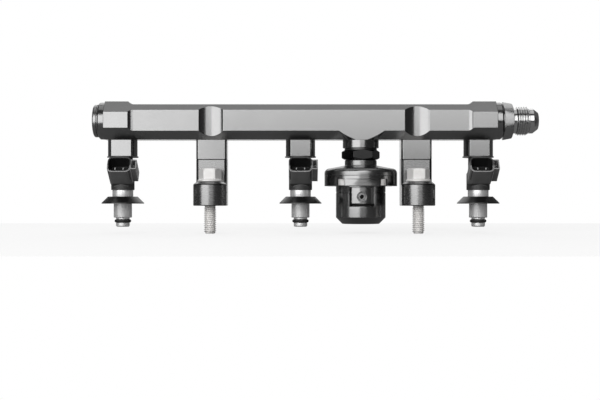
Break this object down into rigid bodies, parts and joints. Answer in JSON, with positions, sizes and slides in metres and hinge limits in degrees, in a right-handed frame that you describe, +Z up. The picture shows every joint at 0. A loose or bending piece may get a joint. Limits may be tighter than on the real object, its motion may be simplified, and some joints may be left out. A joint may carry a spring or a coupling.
{
  "type": "fuel rail",
  "caption": "Machined fuel rail with electrically connected injectors hanging below it, two bolted feet, a pulsation damper and a flare inlet.",
  "frame": {"origin": "on the middle injector's axis, level with the seats of the two feet", "axes": "+X along the rail towards the inlet fitting, -Y the side that the injector sockets face, +Z up from the manifold"},
  "size_m": [0.2941, 0.0525, 0.0869],
  "materials": {
    "black_anodised": "satin black anodised aluminium",
    "collar_black": "satin black anodised aluminium",
    "bolt_steel": "bright zinc-plated or stainless steel",
    "dark_steel": "black oxide steel",
    "injector_steel": "turned stainless steel",
    "housing_plastic": "black moulded nylon",
    "pin_metal": "tin-plated blade",
    "seal_rubber": "smooth fluoroelastomer"
  },
  "bodies": {
    "rail": {"rail_body": "black_anodised", "end_plug": "black_anodised", "end_plug_oring": "seal_rubber", "inlet_fitting": "black_anodised", "inlet_fitting_oring": "seal_rubber", "bracket_left": "black_anodised", "bracket_right": "black_anodised", "foot_bolt_left": "bolt_steel", "foot_bolt_right": "bolt_steel", "bracket_screws": "dark_steel", "damper_cap": "black_anodised", "damper_lock_nut": "black_anodised", "damper_stem_washer": "dark_steel", "damper_stem_oring": "seal_rubber", "damper_bonnet": "black_anodised", "damper_diaphragm": "seal_rubber", "damper_spring": "dark_steel", "damper_screws": "bolt_steel", "damper_port_screw": "bolt_steel", "injector_1_barrel": "injector_steel", "injector_1_collar": "collar_black", "injector_1_nozzle": "injector_steel", "injector_1_nozzle_oring": "seal_rubber", "injector_1_inlet_tube": "injector_steel", "injector_1_inlet_oring": "seal_rubber", "injector_1_inlet_filter": "injector_steel", "injector_1_stop_ring": "housing_plastic", "injector_1_housing": "housing_plastic", "injector_1_pins": "pin_metal", "injector_2_barrel": "injector_steel", "injector_2_collar": "collar_black", "injector_2_nozzle": "injector_steel", "injector_2_nozzle_oring": "seal_rubber", "injector_2_inlet_tube": "injector_steel", "injector_2_inlet_oring": "seal_rubber", "injector_2_inlet_filter": "injector_steel", "injector_2_stop_ring": "housing_plastic", "injector_2_housing": "housing_plastic", "injector_2_pins": "pin_metal", "injector_3_barrel": "injector_steel", "injector_3_collar": "collar_black", "injector_3_nozzle": "injector_steel", "injector_3_nozzle_oring": "seal_rubber", "injector_3_inlet_tube": "injector_steel", "injector_3_inlet_oring": "seal_rubber", "injector_3_inlet_filter": "injector_steel", "injector_3_stop_ring": "housing_plastic", "injector_3_housing": "housing_plastic", "injector_3_pins": "pin_metal"},
    "damper_plate": {"damper_spring_seat": "bolt_steel"}
  },
  "joints": [
    {"name": "damper_travel", "type": "slide", "parent": "rail", "child": "damper_plate", "axis": [0, 0, 1], "range_m": [-0.0015, 0], "stiffness_N_per_m": 500, "springref_m": 0.0005, "deforming": ["damper_spring", "damper_diaphragm"]}
  ]
}
